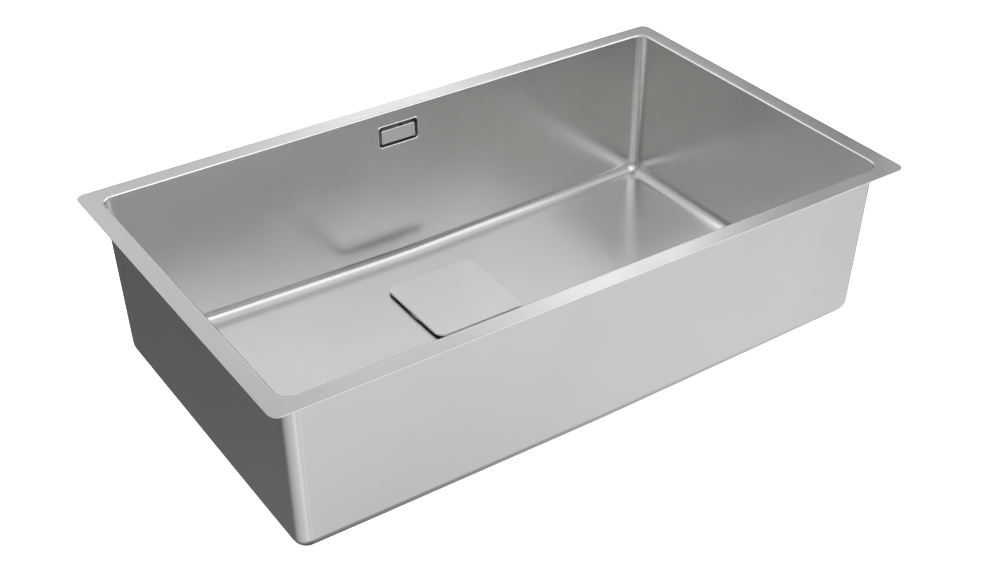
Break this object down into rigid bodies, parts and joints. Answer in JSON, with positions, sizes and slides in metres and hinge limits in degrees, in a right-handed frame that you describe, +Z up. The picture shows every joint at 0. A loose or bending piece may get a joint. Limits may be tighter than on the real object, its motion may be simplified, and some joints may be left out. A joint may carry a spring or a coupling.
{
  "type": "undermount kitchen sink",
  "caption": "Rectangular undermount steel kitchen sink with a flat rim, a square cover over its basket waste, and a rear wall overflow piped to the waste.",
  "frame": {"origin": "centre of the rim's flat top face", "axes": "+X to the right along the bowl, +Y to the rear wall with the overflow, +Z up"},
  "size_m": [0.75, 0.4553, 0.2895],
  "materials": {
    "bowl_steel": "satin",
    "cover_steel": "satin",
    "strainer_steel": "semi-gloss",
    "trim_steel": "semi-gloss",
    "knob_steel": "gloss",
    "fastener_steel": "semi-gloss",
    "rubber": "matte",
    "seal_foam": "matte",
    "brass": "satin",
    "waste_plastic": "satin",
    "nut_plastic": "satin",
    "hose_plastic": "satin",
    "sound_pad": "matte"
  },
  "bodies": {
    "sink": {"bowl": "bowl_steel", "strainer_cup": "strainer_steel", "strainer_seal_top": "seal_foam", "strainer_seal_under": "rubber", "centre_screw": "fastener_steel", "screw_insert": "brass", "waste_body": "waste_plastic", "overflow_trim": "trim_steel", "overflow_plate": "trim_steel", "overflow_gasket": "rubber", "overflow_body": "waste_plastic", "overflow_studs": "fastener_steel", "overflow_nuts": "fastener_steel", "hose_nuts": "nut_plastic", "hose_seals": "rubber", "overflow_hose": "hose_plastic", "sound_pad_left": "sound_pad", "sound_pad_right": "sound_pad"},
    "basket": {"basket_cup": "strainer_steel", "basket_seal": "rubber", "basket_nut": "fastener_steel", "basket_stem": "fastener_steel", "basket_knob": "knob_steel"},
    "cover": {"cover_plate": "cover_steel", "cover_ring": "strainer_steel", "cover_feet": "rubber"}
  },
  "joints": [
    {"name": "basket_lift", "type": "slide", "parent": "sink", "child": "basket", "axis": [0, 0, 1], "range_m": [0, 0.25]},
    {"name": "cover_lift", "type": "slide", "parent": "basket", "child": "cover", "axis": [0, 0, 1], "range_m": [0, 0.22]}
  ]
}
